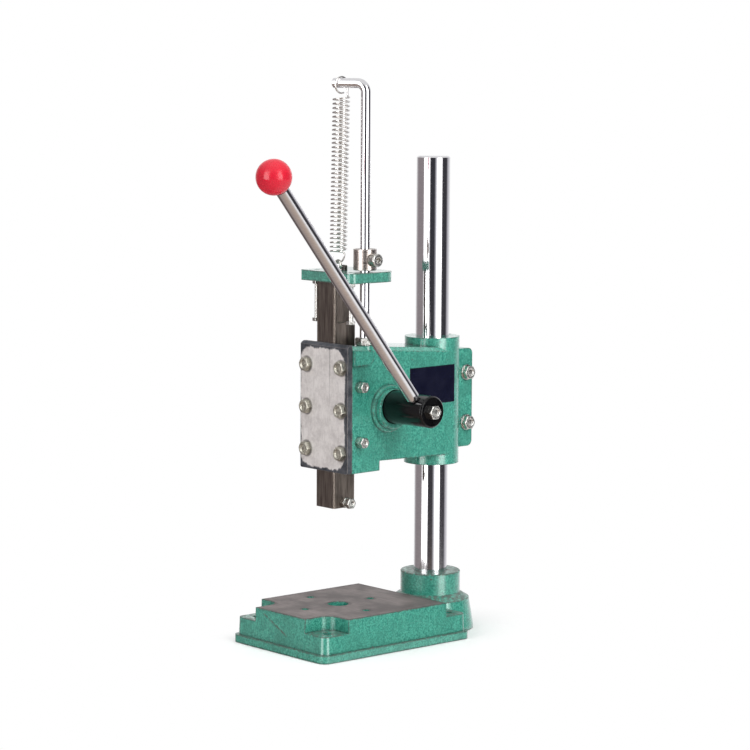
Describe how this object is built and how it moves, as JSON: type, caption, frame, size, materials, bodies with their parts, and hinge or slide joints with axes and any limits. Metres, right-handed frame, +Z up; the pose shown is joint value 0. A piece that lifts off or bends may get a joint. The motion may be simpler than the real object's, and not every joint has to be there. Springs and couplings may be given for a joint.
{
  "type": "lever hole punch press",
  "caption": "Bench press with a hand lever, rack ram, spring return, round column and flat cast table",
  "frame": {"origin": "on the bench, on the axis of the middle hole of the work table", "axes": "+Z up along the column; -Y towards the operator; +X the side of the lever"},
  "size_m": [0.1801, 0.3453, 0.5791],
  "materials": {
    "base_iron": "green enamel, machined table on top",
    "black_oxide": "black oxide, oiled",
    "chrome": "hard chromed, polished",
    "enamel": "hammered green enamel",
    "ground_steel": "ground and partly blued steel",
    "zinc": "zinc plated",
    "name_plate": "printed aluminium, left bare",
    "bronze": "bearing bronze",
    "spring_steel": "drawn spring wire, plated",
    "gear_steel": "cut and oiled steel",
    "red_ball": "glossy phenolic, red",
    "dark_steel": "dark mill-finished steel",
    "turned_steel": "turned steel"
  },
  "bodies": {
    "base": {"base": "base_iron", "column_set_screw": "black_oxide"},
    "column": {"column": "chrome"},
    "head": {"head": "enamel", "front_plate": "ground_steel", "front_plate_bolts": "zinc", "gib": "ground_steel", "gib_bolts": "zinc", "gib_locknuts": "zinc", "clamp_bolts": "zinc", "clamp_washers": "zinc", "clamp_nuts": "zinc", "name_plate": "name_plate", "shaft_bush_left": "bronze", "shaft_bush_right": "bronze", "spring_hanger": "chrome", "hanger_locknut": "zinc", "return_spring": "spring_steel"},
    "lever": {"pinion": "gear_steel", "pinion_shaft": "gear_steel", "shaft_keys": "gear_steel", "shaft_end_washer": "zinc", "shaft_end_bolt": "zinc", "lever_hub": "black_oxide", "hub_bolt": "zinc", "lever_rod": "chrome", "ball_knob": "red_ball"},
    "ram": {"ram": "dark_steel", "top_plate": "enamel", "top_plate_screws": "black_oxide", "stop_locknuts": "zinc", "spring_eye": "zinc", "die_screw": "zinc", "die_screw_locknut": "zinc"},
    "left_stop": {"stop_bolt_left": "zinc"},
    "right_stop": {"stop_bolt_right": "zinc"},
    "collar": {"stop_collar": "turned_steel", "collar_screw": "zinc"}
  },
  "joints": [
    {"name": "column_swivel", "type": "hinge", "parent": "base", "child": "column", "pos_m": [0, 0.128, 0.0605], "axis": [0, 0, 1], "range_deg": [-180, 180]},
    {"name": "head_height", "type": "slide", "parent": "column", "child": "head", "axis": [0, 0, 1], "range_m": [-0.075, 0.185]},
    {"name": "lever_turn", "type": "hinge", "parent": "head", "child": "lever", "pos_m": [0, 0.03665, 0.2455], "axis": [1, 0, 0], "range_deg": [0, 48.12]},
    {"name": "ram_slide", "type": "slide", "parent": "head", "child": "ram", "axis": [0, 0, -1], "range_m": [0, 0.021], "stiffness_N_per_m": 500, "springref_m": -0.12, "deforming": ["return_spring"]},
    {"name": "left_stop_set", "type": "slide", "parent": "ram", "child": "left_stop", "axis": [0, 0, 1], "range_m": [0, 0.02]},
    {"name": "right_stop_set", "type": "slide", "parent": "ram", "child": "right_stop", "axis": [0, 0, 1], "range_m": [0, 0.02]},
    {"name": "collar_set", "type": "slide", "parent": "head", "child": "collar", "axis": [0, 0, 1], "range_m": [0, 0.14]}
  ],
  "couplings": [
    {"joint": "ram_slide", "follows": "lever_turn", "m_per_rad": 0.025}
  ]
}
